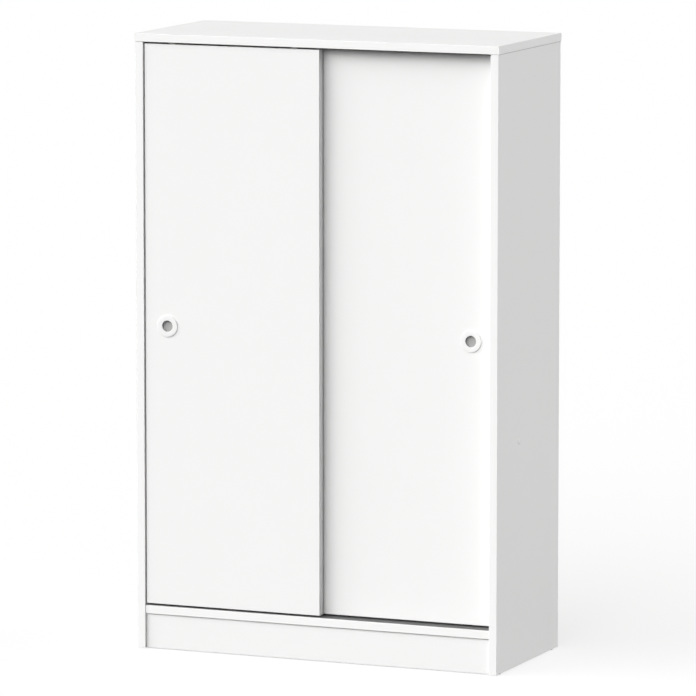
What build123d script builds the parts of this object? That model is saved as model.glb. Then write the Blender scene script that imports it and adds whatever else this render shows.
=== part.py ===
from build123d import *
import os

# A low wardrobe with two sliding doors, in flat-pack melamine board.
# Millimetres, +Z up. The doors face -Y. The origin is on the floor, in the middle of the footprint.

# Carcass boards
WIDTH = 750.0  # over the side panels
DEPTH = 325.0  # of the side panels
HEIGHT = 1200.0  # floor to the top face
BOARD = 16.0
EDGE_RADIUS = 0.8  # rounding of the edge banding
TOP_SIDE_OVERHANG = 1.5
TOP_FRONT_OVERHANG = 1.0
PLINTH_HEIGHT = 68.0
PLINTH_RECESS = 6.0  # behind the front edges of the side panels
BOTTOM_RECESS = 2.0  # bottom panel behind the same edges

# Nail-on floor glides
GLIDE_THICKNESS = 2.0
GLIDE_DIAMETER = 13.0
GLIDE_INSET = 25.0  # from the front and rear edges of the side panels
NAIL_DIAMETER = 2.0
NAIL_LENGTH = 14.0

# Back panel: two halves in grooves round the carcass, joined by a strip of H section
BACK_BOARD = 3.0
BACK_INSET = 8.0  # rear edges of the carcass to the back panel
BACK_GROOVE_DEPTH = 6.0
BACK_PLAY = 0.2  # round the back panel in its grooves
STRIP_WIDTH = 18.0
STRIP_WALL = 1.0

# Shelves
FIXED_SHELF_HEIGHT = 435.0  # floor to its mid-plane
LOOSE_SHELF_HEIGHT = 250.0  # floor to its underside
SHELF_DOOR_ROOM = 6.5  # from the back of the rear door
SHELF_BACK_ROOM = 0.5  # from the joining strip
LOOSE_SHELF_SETBACK = 12.0  # behind the front edge of the fixed shelf
LOOSE_SHELF_PLAY = 0.4  # to the flanges of its pins
PIN_DIAMETER = 5.0
PIN_DEPTH = 9.0
PIN_REACH = 8.0  # under the loose shelf
PIN_FLANGE_DIAMETER = 8.0
PIN_FLANGE = 0.8  # thickness of its flange
PIN_INSET = 40.0  # from the front and rear edges of the loose shelf
PIN_PITCH = 32.0
PIN_STEPS = 2  # spare holes above and below the pins in use
PIN_PLAY = 0.1

# Doors
DOOR_THICKNESS = 16.0
DOOR_SETBACK = 3.5  # front door behind the front edges of the side panels
DOOR_SPACING = 8.0  # between the two doors
DOOR_SIDE_GAP = 2.0
DOOR_TOP_GAP = 3.6
DOOR_BOTTOM_GAP = 4.4
DOOR_OVERLAP = 16.0
BUMPER_DIAMETER = 8.0
BUMPER_GAP = 0.3  # bumper to door
BUMPER_INSET = 150.0  # from the top and bottom edges of the doors

# Round finger pulls
PULL_DIAMETER = 41.5
PULL_HEIGHT = 2.0  # of the rim above the door
PULL_EDGE = 1.9  # thickness at the outside of the rim
PULL_RECESS_DIAMETER = 21.5
PULL_RECESS_DEPTH = 4.0  # below the face of the door
PULL_WALL = 2.2
PULL_FLOOR = 1.4
PULL_LIP = 0.8  # rounding into the recess
PULL_INSET = 46.8  # centre from the outer edge of the door
PULL_PLAY = 0.2

# Tracks: channels let into the bottom and top panels, with lips on the face of the panel
TRACK_CHANNEL = 6.4  # inside width
TRACK_WALL = 1.2
TRACK_FLOOR = 1.5
TRACK_LIP = 2.0  # width of the outer lip beyond the wall
TRACK_JOINT = 0.2  # between the inner lips of a pair of tracks
TRACK_LIP_THICKNESS = 0.8
TRACK_PLAY = 0.1  # in its groove, each side
TRACK_END_GAP = 3.0  # to each side panel
RUN_DEPTH = 2.8  # running face below the bottom panel's face
GUIDE_DEPTH = 6.5  # of the upper channels

# Door fittings: moulded housings in pockets routed from the back of the door
FRONT_SKIN = 3.5  # left in front of a pocket
POCKET_PLAY = 0.15
POCKET_RADIUS = 5.0
HOUSING_WALL = 1.6
PLATE = 1.2  # flange on the back of the door
PLATE_MARGIN = 13.0  # flange beyond the pocket, each side
PLATE_RADIUS = 5.0
PLATE_EDGE_GAP = 2.0  # flange from the edge of the door
FITTING_INSET = 55.0  # from the sides of the door
WHEEL_DIAMETER = 24.0
WHEEL_WIDTH = 5.0
WHEEL_CROWN = 0.3  # middle of the tread above its sides
WHEEL_RIM = 2.6
WHEEL_HUB = 9.0
WHEEL_WEB = 2.2
WHEEL_ROOM = 1.5  # round the tread
WHEEL_SIDE_PLAY = 0.4
ROLL_GAP = 0.15  # tread above the running face
AXLE_DIAMETER = 4.0
AXLE_SEAT = 1.1  # in the front wall of the housing
AXLE_PLAY = 0.05  # in the housing
BEARING_PLAY = 0.1  # wheel on its axle
ROLLER_POCKET_WIDTH = 44.0
ROLLER_POCKET_HEIGHT = 30.0
BOSS_DIAMETER = 9.0  # round the end of the axle
BOSS_HEIGHT = 0.8

# Sprung guides in the top of each door
GUIDE_WIDTH = 14.0
GUIDE_THICKNESS = 5.4
GUIDE_REACH = 5.0  # into the upper channel
GUIDE_TAIL = 22.0  # inside the housing
GUIDE_CHAMFER = 1.0
GUIDE_PLAY = 0.3
GUIDE_POCKET_WIDTH = 26.0
TAB_WIDTH = 6.0
TAB_HEIGHT = 6.0
TAB_RISE = 2.0  # above the end of the tail
TAB_PROUD = 2.5  # behind the flange
TAB_PLAY = 0.4
SPRING_LENGTH = 17.7
SPRING_WIDTH = 7.0  # between the folds
SPRING_DEPTH = 4.0
SPRING_STRIP = 0.8
SPRING_LEGS = 6

# Hanging rail
RAIL_HEIGHT = 30.0
RAIL_WIDTH = 15.0
RAIL_WALL = 1.2
RAIL_DROP = 60.0  # centre below the top panel
RAIL_PLAY = 0.2
BRACKET_BASE = 3.0
BRACKET_WALL = 2.0
BRACKET_REACH = 14.0  # collar from the side panel
BRACKET_EAR = 17.0  # base above and below the rail
BRACKET_RADIUS = 6.0

# Angle brackets: two to the wall, two behind the plinth
ANGLE_LEG = 26.0
ANGLE_WIDTH = 24.0
ANGLE_THICKNESS = 2.0
ANGLE_BEND = 3.0  # outside radius
ANGLE_HOLE_HEIGHT = 16.0  # from the corner
WALL_HOLE_DIAMETER = 5.5
WALL_HOLE_PLAY = 1.0  # more radius in the back panel
WALL_SPACING = 500.0
PLINTH_BRACKET_SPACING = 350.0

# Fasteners
SCREW_SHANK = 2.9
SCREW_HEAD = 6.0
SCREW_HEAD_HEIGHT = 1.8
SCREW_LENGTH = 12.5  # under the head
SCREW_POINT = 3.0
SCREW_PLAY = 0.1
DOWEL_DIAMETER = 8.0
DOWEL_LENGTH = 30.0
DOWEL_FACE_DEPTH = 10.0  # in the board that it enters through a face
DOWEL_CHAMFER = 0.8
DOWEL_PLAY = 0.1
DOWEL_SPACING = 32.0  # from the cam beside it
CAM_DIAMETER = 15.0
CAM_HEIGHT = 12.5
CAM_DISTANCE = 34.0  # from the edge of the board
CAM_FRONT_INSET = 75.0
CAM_REAR_INSET = 55.0
CAM_PLAY = 0.15
BOLT_DIAMETER = 6.5
BOLT_NECK = 4.0
BOLT_NECK_LENGTH = 6.0
BOLT_HEAD_LENGTH = 3.0  # past the centre of the cam
BOLT_THREAD = 5.0
BOLT_THREAD_LENGTH = 10.5
BOLT_PLAY = 0.5
SHELF_SCREW_INSET = 112.0  # behind the front edges of the side panels
SHELF_SCREW_SHANK = 6.8
SHELF_SCREW_THREAD = 5.0
SHELF_SCREW_LENGTH = 50.0
SHELF_SCREW_HEAD = 9.0
SHELF_SCREW_HEAD_HEIGHT = 3.0
SHELF_SCREW_SINK = 0.4  # head below the face of the side panel
SHELF_DOWEL_INSET = 30.0  # from the front and rear edges of the fixed shelf
CAP_DIAMETER = 11.0
CAP_HEIGHT = 1.3
CAP_EDGE = 0.4
HOLE_SLACK = 0.5  # below the end of a dowel, bolt, pin or screw

# Places worked out from the sizes above
front = -(DEPTH + TOP_FRONT_OVERHANG) / 2
side_front = front + TOP_FRONT_OVERHANG
rear = side_front + DEPTH
inner = WIDTH / 2 - BOARD
side_middle = WIDTH / 2 - BOARD / 2
bottom_underside = GLIDE_THICKNESS + PLINTH_HEIGHT
bottom_face = bottom_underside + BOARD
top_underside = HEIGHT - BOARD
plinth_front = side_front + PLINTH_RECESS
plinth_rear = plinth_front + BOARD
back_rear = rear - BACK_INSET
back_front = back_rear - BACK_BOARD
front_door_face = side_front + DOOR_SETBACK
rear_door_face = front_door_face + DOOR_THICKNESS + DOOR_SPACING
door_bottom = bottom_face + DOOR_BOTTOM_GAP
door_top = top_underside - DOOR_TOP_GAP
door_width = inner - DOOR_SIDE_GAP + DOOR_OVERLAP / 2
door_travel = 2 * (inner - DOOR_SIDE_GAP) - door_width
pull_height = (door_bottom + door_top) / 2
shelf_front = rear_door_face + DOOR_THICKNESS + SHELF_DOOR_ROOM
shelf_rear = back_front - BACK_PLAY - STRIP_WALL - SHELF_BACK_ROOM
loose_front = shelf_front + LOOSE_SHELF_SETBACK
pin_rows = (loose_front + PIN_INSET, shelf_rear - PIN_INSET)
pin_level = LOOSE_SHELF_HEIGHT - PIN_DIAMETER / 2 - PIN_PLAY
rail_depth = (shelf_front + back_front) / 2
rail_level = top_underside - RAIL_DROP
wheel_slot = WHEEL_WIDTH + 2 * WHEEL_SIDE_PLAY
running_plane = FRONT_SKIN + POCKET_PLAY + HOUSING_WALL + wheel_slot / 2  # behind a door's face
axle_height = WHEEL_DIAMETER / 2 + ROLL_GAP - RUN_DEPTH - DOOR_BOTTOM_GAP  # above a door's edge
guide_travel = DOOR_TOP_GAP + GUIDE_REACH
guide_pocket_height = GUIDE_TAIL + SPRING_LENGTH + HOUSING_WALL + POCKET_PLAY
cam_rows = (side_front + CAM_FRONT_INSET, rear - CAM_REAR_INSET)
dowel_rows = (cam_rows[0] + DOWEL_SPACING, cam_rows[1] - DOWEL_SPACING)
shelf_screw_row = side_front + SHELF_SCREW_INSET
shelf_dowel_rows = (shelf_front + SHELF_DOWEL_INSET, shelf_rear - SHELF_DOWEL_INSET)
plinth_middle = GLIDE_THICKNESS + PLINTH_HEIGHT / 2
track_rows = (front_door_face + running_plane, rear_door_face + running_plane)

# Each door by its left edge, its face and the centre of its pull
DOORS = {
    "front_door": (DOOR_SIDE_GAP - inner, front_door_face, PULL_INSET),
    "rear_door": (inner - DOOR_SIDE_GAP - door_width, rear_door_face, door_width - PULL_INSET),
}
HANDS = {"left": -1, "right": 1}


# General forms
def block(low, high):
    """A rectangular block between two opposite corners."""
    size = [b - a for a, b in zip(low, high)]
    middle = [(a + b) / 2 for a, b in zip(low, high)]
    return Pos(*middle) * Box(*size)


def board(low, high):
    """A board between two opposite corners, with the edges of its two faces rounded."""
    blank = block(low, high)
    faces = blank.faces().sort_by(SortBy.AREA)[-2:]
    return fillet(faces[0].edges() + faces[1].edges(), EDGE_RADIUS)


def rod(radius, start, end):
    """A round rod from one point to another."""
    run = Vector(*end) - Vector(*start)
    return extrude(Plane(origin=start, z_dir=run) * Circle(radius), run.length)


def turned(*outline):
    """A solid turned about Z from an outline of (radius, height) points that starts and ends on Z."""
    return revolve(Plane.XZ * make_face(Polyline(*outline, close=True)), Axis.Z)


def upright(sketch, near, far):
    """A flat sketch stood up to face -Y, and given its thickness from y = near to y = far."""
    return Pos(0, far, 0) * Rot(90, 0, 0) * extrude(sketch, far - near)


def niche(width, height, radius):
    """A flat rectangle that stands on the X axis, with its two upper corners rounded."""
    outline = Pos(0, height / 2) * Rectangle(width, height)
    return fillet(outline.vertices().group_by(Axis.Y)[-1], radius)


def group(shapes):
    """Separate solids kept together as one sub-part."""
    return Compound(children=list(shapes))


# Fasteners, each along Z with its seat at z = 0
def wood_screw():
    """Pan-head screw that points along +Z, with its head behind z = 0."""
    head = SCREW_HEAD / 2
    shank = SCREW_SHANK / 2
    bevel = SCREW_HEAD_HEIGHT / 2
    return turned(
        (0, -SCREW_HEAD_HEIGHT),
        (head - bevel, -SCREW_HEAD_HEIGHT),
        (head, bevel - SCREW_HEAD_HEIGHT),
        (head, 0),
        (shank, 0),
        (shank, SCREW_LENGTH - SCREW_POINT),
        (0, SCREW_LENGTH),
    )


def screw_hole():
    return rod(SCREW_SHANK / 2 + SCREW_PLAY, (0, 0, -HOLE_SLACK), (0, 0, SCREW_LENGTH + HOLE_SLACK))


def dowel():
    """Wooden dowel across a joint at z = 0, with its longer part in the board on the +Z side."""
    radius = DOWEL_DIAMETER / 2
    low = -DOWEL_FACE_DEPTH
    high = DOWEL_LENGTH - DOWEL_FACE_DEPTH
    return turned(
        (0, low),
        (radius - DOWEL_CHAMFER, low),
        (radius, low + DOWEL_CHAMFER),
        (radius, high - DOWEL_CHAMFER),
        (radius - DOWEL_CHAMFER, high),
        (0, high),
    )


def dowel_hole():
    low = -DOWEL_FACE_DEPTH - HOLE_SLACK
    high = DOWEL_LENGTH - DOWEL_FACE_DEPTH + HOLE_SLACK
    return rod(DOWEL_DIAMETER / 2 + DOWEL_PLAY, (0, 0, low), (0, 0, high))


def cam_bolt():
    """Bolt screwed into a face on the -Z side, with its head caught by the cam in the other board."""
    thread = BOLT_THREAD / 2
    shaft = BOLT_DIAMETER / 2
    neck = BOLT_NECK / 2
    neck_start = CAM_DISTANCE - BOLT_NECK_LENGTH
    return turned(
        (0, -BOLT_THREAD_LENGTH),
        (thread, -BOLT_THREAD_LENGTH),
        (thread, 0),
        (shaft, 0),
        (shaft, neck_start),
        (neck, neck_start),
        (neck, CAM_DISTANCE),
        (shaft, CAM_DISTANCE),
        (shaft, CAM_DISTANCE + BOLT_HEAD_LENGTH),
        (0, CAM_DISTANCE + BOLT_HEAD_LENGTH),
    )


def bolt_hole(reach):
    """Bore for a cam bolt, in both boards, up to a distance from the joint."""
    thread = rod(BOLT_THREAD / 2 + SCREW_PLAY, (0, 0, -BOLT_THREAD_LENGTH - HOLE_SLACK), (0, 0, 0))
    return thread + rod(BOLT_DIAMETER / 2 + BOLT_PLAY, (0, 0, 0), (0, 0, reach))


def cam_disc(radius, slack):
    """The round of a cam lock, let in from the face at x = half a board."""
    depth = BOARD / 2 - CAM_HEIGHT - slack
    return rod(radius, (depth, 0, CAM_DISTANCE), (BOARD / 2, 0, CAM_DISTANCE))


def cam_lock():
    return cam_disc(CAM_DIAMETER / 2, 0) - bolt_hole(CAM_DISTANCE + BOLT_HEAD_LENGTH + HOLE_SLACK)


def cam_joint_cut():
    """All that a cam and its bolt take out of the two boards they join."""
    return cam_disc(CAM_DIAMETER / 2 + CAM_PLAY, HOLE_SLACK) + bolt_hole(CAM_DISTANCE)


def shelf_screw():
    """Long screw that points along +Z from the outside of a side panel into the fixed shelf."""
    head = SHELF_SCREW_HEAD / 2
    shank = SHELF_SCREW_SHANK / 2
    thread = SHELF_SCREW_THREAD / 2
    return turned(
        (0, SHELF_SCREW_SINK),
        (head, SHELF_SCREW_SINK),
        (shank, SHELF_SCREW_SINK + SHELF_SCREW_HEAD_HEIGHT),
        (shank, BOARD),
        (thread, BOARD),
        (thread, SHELF_SCREW_LENGTH - thread),
        (0, SHELF_SCREW_LENGTH),
    )


def shelf_screw_hole():
    head = SHELF_SCREW_HEAD / 2 + SCREW_PLAY
    shank = SHELF_SCREW_SHANK / 2 + SCREW_PLAY
    thread = SHELF_SCREW_THREAD / 2 + SCREW_PLAY
    return turned(
        (0, 0),
        (head, 0),
        (head, SHELF_SCREW_SINK),
        (shank, SHELF_SCREW_SINK + SHELF_SCREW_HEAD_HEIGHT),
        (shank, BOARD + SCREW_PLAY),
        (thread, BOARD + SCREW_PLAY),
        (thread, SHELF_SCREW_LENGTH + HOLE_SLACK),
        (0, SHELF_SCREW_LENGTH + HOLE_SLACK),
    )


def screw_cap():
    """Low domed cap on the face at z = 0, over the head of a shelf screw."""
    radius = CAP_DIAMETER / 2
    rise = CAP_HEIGHT - CAP_EDGE
    sphere = (radius**2 + rise**2) / (2 * rise)
    dome = RadiusArc((radius, -CAP_EDGE), (0, -CAP_HEIGHT), sphere)
    rim = Polyline((0, -CAP_HEIGHT), (0, 0), (radius, 0), (radius, -CAP_EDGE))
    return revolve(Plane.XZ * make_face(dome + rim), Axis.Z)


# Where the fasteners of the carcass go
def end_plane(side, depth, level, opens):
    """A joint between a side panel's inner face and the end of a board, seen from the joint."""
    return Plane(origin=(side * inner, depth, level), x_dir=opens, z_dir=(-side, 0, 0))


def top_plane(side, depth):
    """A joint between the top panel and the top edge of a side panel."""
    return Plane(origin=(side * side_middle, depth, top_underside), x_dir=(-side, 0, 0), z_dir=(0, 0, -1))


bottom_middle = bottom_face - BOARD / 2
plinth_depth = (plinth_front + plinth_rear) / 2
plinth_cam_level = plinth_middle - CAM_DIAMETER
plinth_dowel_level = plinth_middle + CAM_DIAMETER
DOWN = (0, 0, -1)
BACK = (0, 1, 0)
cams = {"top": [], "bottom": [], "plinth": []}
dowels = {"top": [], "bottom": [], "plinth": [], "shelf": []}
shelf_screws = []
for side in HANDS.values():
    cams["top"] += [top_plane(side, row) for row in cam_rows]
    dowels["top"] += [top_plane(side, row) for row in dowel_rows]
    cams["bottom"] += [end_plane(side, row, bottom_middle, DOWN) for row in cam_rows]
    dowels["bottom"] += [end_plane(side, row, bottom_middle, DOWN) for row in dowel_rows]
    cams["plinth"] += [end_plane(side, plinth_depth, plinth_cam_level, BACK)]
    dowels["plinth"] += [end_plane(side, plinth_depth, plinth_dowel_level, BACK)]
    dowels["shelf"] += [end_plane(side, row, FIXED_SHELF_HEIGHT, DOWN) for row in shelf_dowel_rows]
    outside = (side * WIDTH / 2, shelf_screw_row, FIXED_SHELF_HEIGHT)
    shelf_screws.append(Plane(origin=outside, z_dir=(-side, 0, 0)))


def joint_cuts(place, side=0):
    """Cuts for the cams and dowels of one joint, on one hand or on both."""
    cuts = [plane * cam_joint_cut() for plane in cams.get(place, [])]
    cuts += [plane * dowel_hole() for plane in dowels[place]]
    return [cut for cut in cuts if cut.center().X * side >= 0]


def every(places):
    return [plane for planes in places.values() for plane in planes]


# Tracks
def track_profile(depth, side):
    """Section of a track at its mouth: width along X, depth along -Y, lips above Y = 0.

    The other track of the pair lies on the +X or -X side, where the lips of the two meet half way.
    """
    outside = TRACK_CHANNEL + 2 * TRACK_WALL
    body = Pos(0, -(depth + TRACK_FLOOR) / 2) * Rectangle(outside, depth + TRACK_FLOOR)
    outer_lip = outside / 2 + TRACK_LIP
    inner_lip = (track_rows[1] - track_rows[0] - TRACK_JOINT) / 2
    lips = Rectangle(outer_lip + inner_lip, TRACK_LIP_THICKNESS)
    lips = Pos(side * (inner_lip - outer_lip) / 2, TRACK_LIP_THICKNESS / 2) * lips
    opening = depth + TRACK_LIP_THICKNESS
    channel = Pos(0, TRACK_LIP_THICKNESS - opening / 2) * Rectangle(TRACK_CHANNEL, opening)
    return body + lips - channel


def lower_track(row, side):
    length = 2 * (inner - TRACK_END_GAP)
    section = Plane(origin=(-length / 2, row, bottom_face), x_dir=(0, 1, 0), z_dir=(1, 0, 0))
    return extrude(section * track_profile(RUN_DEPTH, side), length)


def upper_track(row, side):
    length = 2 * (inner - TRACK_END_GAP)
    section = Plane(origin=(-length / 2, row, top_underside), x_dir=(0, -1, 0), z_dir=(1, 0, 0))
    return extrude(section * track_profile(GUIDE_DEPTH, side), length)


def track_grooves(face, floor, reach):
    """The grooves for a pair of tracks, between two levels and out to a distance from the middle."""
    half = TRACK_CHANNEL / 2 + TRACK_WALL + TRACK_PLAY
    low, high = sorted((face, floor))
    return [block((-reach, row - half, low), (reach, row + half, high)) for row in track_rows]


# Back
def back_groove(low, high):
    """Groove for the back panel within a block of board given by its ends in X and Z."""
    near = back_front - BACK_PLAY
    far = back_rear + BACK_PLAY
    return block((low[0], near, low[1]), (high[0], far, high[1]))


def wall_hole(side, radius):
    """Round cut for a wall screw, through the angle bracket or the back panel behind it."""
    level = top_underside - ANGLE_HOLE_HEIGHT
    place = side * WALL_SPACING / 2
    return rod(radius, (place, back_front - ANGLE_LEG, level), (place, rear, level))


def back_half(side):
    reach = BACK_GROOVE_DEPTH - BACK_PLAY
    near = STRIP_WALL / 2 + BACK_PLAY
    far = inner + reach
    low = (min(side * near, side * far), back_front, bottom_face - reach)
    high = (max(side * near, side * far), back_rear, top_underside + reach)
    return block(low, high) - wall_hole(side, WALL_HOLE_DIAMETER / 2 + WALL_HOLE_PLAY)


def joining_strip():
    middle = (back_front + back_rear) / 2
    clear = BACK_BOARD + 2 * BACK_PLAY
    web = Rectangle(STRIP_WALL, clear + 2 * STRIP_WALL)
    flange = Rectangle(STRIP_WIDTH, STRIP_WALL)
    offset = (clear + STRIP_WALL) / 2
    section = web + Pos(0, offset) * flange + Pos(0, -offset) * flange
    length = top_underside - bottom_face - 2 * BACK_PLAY
    return extrude(Pos(0, middle, bottom_face + BACK_PLAY) * section, length)


# Carcass boards
def angle_planes():
    """Seats of the angle brackets: origin in the corner, +Z along the first leg, +X along the other."""
    wall = []
    plinth = []
    for side in HANDS.values():
        corner = (side * WALL_SPACING / 2, back_front, top_underside)
        wall.append(Plane(origin=corner, x_dir=(0, -1, 0), z_dir=DOWN))
        corner = (side * PLINTH_BRACKET_SPACING / 2, plinth_rear, bottom_underside)
        plinth.append(Plane(origin=corner, x_dir=BACK, z_dir=DOWN))
    return wall, plinth


wall_angles, plinth_angles = angle_planes()


def angle_screw(plane, upright_leg):
    """Seat of a screw in one leg of an angle bracket, pointing into the board behind that leg."""
    if upright_leg:
        local = Plane(origin=(ANGLE_THICKNESS, 0, ANGLE_HOLE_HEIGHT), z_dir=(-1, 0, 0))
    else:
        local = Plane(origin=(ANGLE_HOLE_HEIGHT, 0, ANGLE_THICKNESS), z_dir=(0, 0, -1))
    return plane.location * local.location


wall_angle_screws = [angle_screw(plane, False) for plane in wall_angles]
plinth_angle_screws = [angle_screw(plane, leg) for plane in plinth_angles for leg in (True, False)]


def top_panel():
    overhang = WIDTH / 2 + TOP_SIDE_OVERHANG
    panel = board((-overhang, front, top_underside), (overhang, rear, HEIGHT))
    groove_top = top_underside + BACK_GROOVE_DEPTH
    back_reach = inner + BACK_GROOVE_DEPTH
    cuts = [back_groove((-back_reach, top_underside), (back_reach, groove_top))]
    cuts += track_grooves(top_underside, top_underside + GUIDE_DEPTH + TRACK_FLOOR, inner)
    cuts += joint_cuts("top")
    cuts += [seat * screw_hole() for seat in wall_angle_screws]
    return panel - cuts


def pin_holes(side):
    """Rows of shelf-pin holes in the inner face of a side panel."""
    holes = []
    for row in pin_rows:
        for step in range(-PIN_STEPS, PIN_STEPS + 1):
            level = pin_level + step * PIN_PITCH
            start = (side * inner, row, level)
            end = (side * (inner + PIN_DEPTH + HOLE_SLACK), row, level)
            holes.append(rod(PIN_DIAMETER / 2 + PIN_PLAY, start, end))
    return holes


def glide_places(side):
    rows = (side_front + GLIDE_INSET, rear - GLIDE_INSET)
    return [(side * side_middle, row, GLIDE_THICKNESS) for row in rows]


def rail_screws(side):
    """Seats of the two screws of a rail bracket, on its base."""
    offset = RAIL_HEIGHT / 2 + BRACKET_EAR / 2 + BRACKET_WALL / 2
    levels = (rail_level - offset, rail_level + offset)
    seat = side * (inner - BRACKET_BASE)
    return [Plane(origin=(seat, rail_depth, level), z_dir=(side, 0, 0)) for level in levels]


def side_panel(side):
    low = min(side * inner, side * WIDTH / 2)
    panel = board((low, side_front, GLIDE_THICKNESS), (low + BOARD, rear, top_underside))
    groove_end = side * (inner + BACK_GROOVE_DEPTH)
    groove = sorted((side * inner, groove_end))
    cuts = [back_groove((groove[0], GLIDE_THICKNESS), (groove[1], top_underside))]
    for place in dowels:
        cuts += joint_cuts(place, side)
    cuts += pin_holes(side)
    cuts += [plane * shelf_screw_hole() for plane in shelf_screws if plane.origin.X * side > 0]
    cuts += [plane * screw_hole() for plane in rail_screws(side)]
    nail = rod(NAIL_DIAMETER / 2 + SCREW_PLAY, (0, 0, 0), (0, 0, NAIL_LENGTH + HOLE_SLACK))
    cuts += [Pos(*place) * nail for place in glide_places(side)]
    return panel - cuts


def bottom_panel():
    panel = board((-inner, side_front + BOTTOM_RECESS, bottom_underside), (inner, rear, bottom_face))
    cuts = track_grooves(bottom_face, bottom_face - RUN_DEPTH - TRACK_FLOOR, inner)
    cuts.append(back_groove((-inner, bottom_face - BACK_GROOVE_DEPTH), (inner, bottom_face)))
    cuts += joint_cuts("bottom")
    cuts += [seat * screw_hole() for seat in plinth_angle_screws]
    return panel - cuts


def plinth():
    panel = board((-inner, plinth_front, GLIDE_THICKNESS), (inner, plinth_rear, bottom_underside))
    return panel - joint_cuts("plinth") - [seat * screw_hole() for seat in plinth_angle_screws]


def fixed_shelf():
    low = (-inner, shelf_front, FIXED_SHELF_HEIGHT - BOARD / 2)
    panel = board(low, (inner, shelf_rear, FIXED_SHELF_HEIGHT + BOARD / 2))
    return panel - joint_cuts("shelf") - [plane * shelf_screw_hole() for plane in shelf_screws]


def loose_shelf():
    reach = inner - PIN_FLANGE - LOOSE_SHELF_PLAY
    low = (-reach, loose_front, LOOSE_SHELF_HEIGHT)
    return board(low, (reach, shelf_rear, LOOSE_SHELF_HEIGHT + BOARD))


# Small fittings of the carcass
def floor_glide():
    """Round pad with its nail, seated under a side panel at z = 0."""
    radius = GLIDE_DIAMETER / 2
    nail = NAIL_DIAMETER / 2
    return turned(
        (0, -GLIDE_THICKNESS),
        (radius - GLIDE_THICKNESS / 2, -GLIDE_THICKNESS),
        (radius, -GLIDE_THICKNESS / 2),
        (radius, 0),
        (nail, 0),
        (nail, NAIL_LENGTH - NAIL_DIAMETER),
        (0, NAIL_LENGTH),
    )


def shelf_pin():
    """Pin along Z: its shank in the side panel, its flange on the face and its peg under the shelf."""
    radius = PIN_DIAMETER / 2
    flange_radius = PIN_FLANGE_DIAMETER / 2
    return turned(
        (0, -PIN_DEPTH),
        (radius, -PIN_DEPTH),
        (radius, 0),
        (flange_radius, 0),
        (flange_radius, PIN_FLANGE),
        (radius, PIN_FLANGE),
        (radius, PIN_REACH),
        (0, PIN_REACH),
    )


def shelf_pins():
    pins = []
    for side in HANDS.values():
        for row in pin_rows:
            seat = Plane(origin=(side * inner, row, pin_level), z_dir=(-side, 0, 0))
            pins.append(seat * shelf_pin())
    return group(pins)


def door_bumpers():
    """Soft pads on the side panels, where the edges of the doors come to rest."""
    thickness = DOOR_SIDE_GAP - BUMPER_GAP
    pads = []
    for side in HANDS.values():
        for face in (front_door_face, rear_door_face):
            for level in (door_bottom + BUMPER_INSET, door_top - BUMPER_INSET):
                depth = face + DOOR_THICKNESS / 2
                start = (side * inner, depth, level)
                pads.append(rod(BUMPER_DIAMETER / 2, start, (side * (inner - thickness), depth, level)))
    return group(pads)


def hanging_rail():
    length = 2 * (inner - BRACKET_BASE - RAIL_PLAY)
    tube = SlotOverall(RAIL_HEIGHT, RAIL_WIDTH, rotation=90)
    hollow = SlotOverall(RAIL_HEIGHT - 2 * RAIL_WALL, RAIL_WIDTH - 2 * RAIL_WALL, rotation=90)
    section = Plane(origin=(-length / 2, rail_depth, rail_level), x_dir=(0, 1, 0), z_dir=(1, 0, 0))
    return extrude(section * (tube - hollow), length)


def rail_bracket(side):
    """Screwed base with a collar that is open at the top, so that the rail drops in."""
    clear_width = RAIL_WIDTH + 2 * RAIL_PLAY
    clear_height = RAIL_HEIGHT + 2 * RAIL_PLAY
    width = clear_width + 2 * BRACKET_WALL
    straight = (clear_height - clear_width) / 2
    collar = SlotOverall(clear_height + 2 * BRACKET_WALL, width, rotation=90)
    collar -= Pos(0, straight + width / 2) * Rectangle(width, width)
    seat = SlotOverall(clear_height, clear_width, rotation=90)
    seat += Pos(0, straight) * Rectangle(clear_width, 2 * straight)
    base = RectangleRounded(width + BRACKET_WALL, RAIL_HEIGHT + 2 * BRACKET_EAR, BRACKET_RADIUS)
    bracket = extrude(base, BRACKET_BASE) + extrude(collar - seat, BRACKET_REACH)
    place = Plane(origin=(side * inner, rail_depth, rail_level), x_dir=(0, -side, 0), z_dir=(-side, 0, 0))
    return place * bracket - [plane * screw_hole() for plane in rail_screws(side)]


def angle_bracket():
    """Steel angle with its outside corner on the origin: one leg along Z, the other along X."""
    leg = ANGLE_LEG
    wall = ANGLE_THICKNESS
    outline = Polyline((0, 0), (leg, 0), (leg, wall), (wall, wall), (wall, leg), (0, leg), close=True)
    section = make_face(outline)
    section = fillet(section.vertices().sort_by_distance((0, 0))[0], ANGLE_BEND)
    section = fillet(section.vertices().sort_by_distance((wall, wall))[0], ANGLE_BEND - wall)
    return upright(section, -ANGLE_WIDTH / 2, ANGLE_WIDTH / 2)


def wall_brackets():
    brackets = []
    for side, plane in zip(HANDS.values(), wall_angles):
        hole = wall_hole(side, WALL_HOLE_DIAMETER / 2)
        brackets.append(plane * angle_bracket() - hole)
    return group(bracket - [seat * screw_hole() for seat in wall_angle_screws] for bracket in brackets)


def plinth_brackets():
    holes = [seat * screw_hole() for seat in plinth_angle_screws]
    return group(plane * angle_bracket() - holes for plane in plinth_angles)


# Door fittings, placed from the face of the door at y = 0 and its edge at z = 0
def plate_screws(pocket_width, level):
    """Seats of the two screws in the ears of a fitting's flange."""
    reach = (pocket_width + PLATE_MARGIN) / 2
    seat = DOOR_THICKNESS + PLATE
    ears = [Plane(origin=(side * reach, seat, level), z_dir=(0, -1, 0)) for side in HANDS.values()]
    return [ear.location for ear in ears]


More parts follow.
